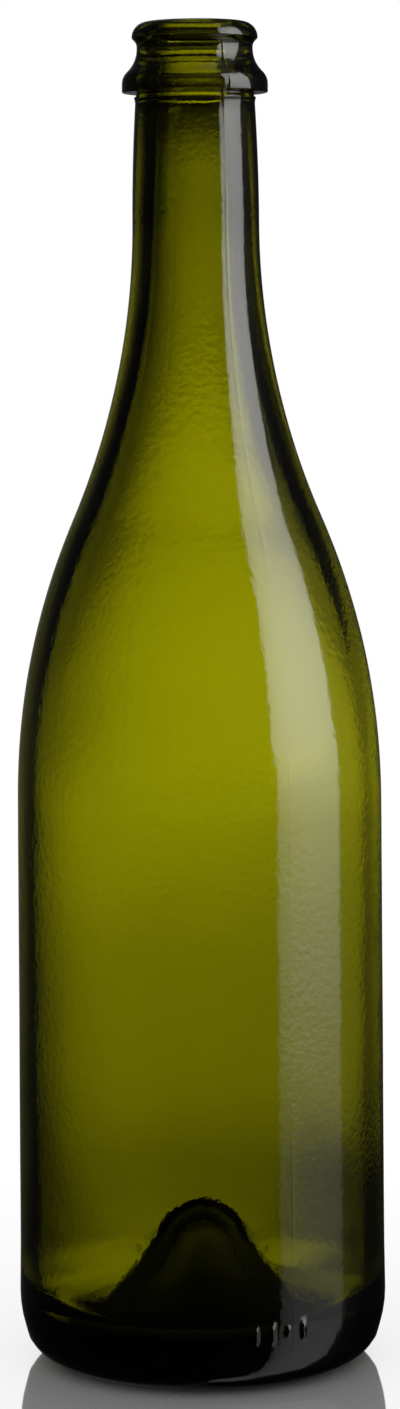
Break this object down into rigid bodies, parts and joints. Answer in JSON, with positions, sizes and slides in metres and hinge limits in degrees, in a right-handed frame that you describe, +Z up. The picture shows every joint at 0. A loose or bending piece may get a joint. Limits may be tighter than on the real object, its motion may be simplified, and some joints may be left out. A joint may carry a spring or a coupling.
{
  "type": "sparkling wine bottle",
  "caption": "Empty, open sparkling wine bottle in olive green glass, with a crown finish, long sloping shoulders and a deep punt.",
  "frame": {"origin": "centre of the bearing ring, on the ground that the bottle stands on", "axes": "+Z up along the bottle's axis, from the base to the mouth; the glass is round about it, so X and Y are free"},
  "size_m": [0.0838, 0.0838, 0.305],
  "materials": {
    "green_glass": "olive green container glass, fire-polished inside and out, clear to look through, nearly black where it is thick"
  },
  "bodies": {
    "root": {"bottle": "green_glass"}
  },
  "joints": []
}
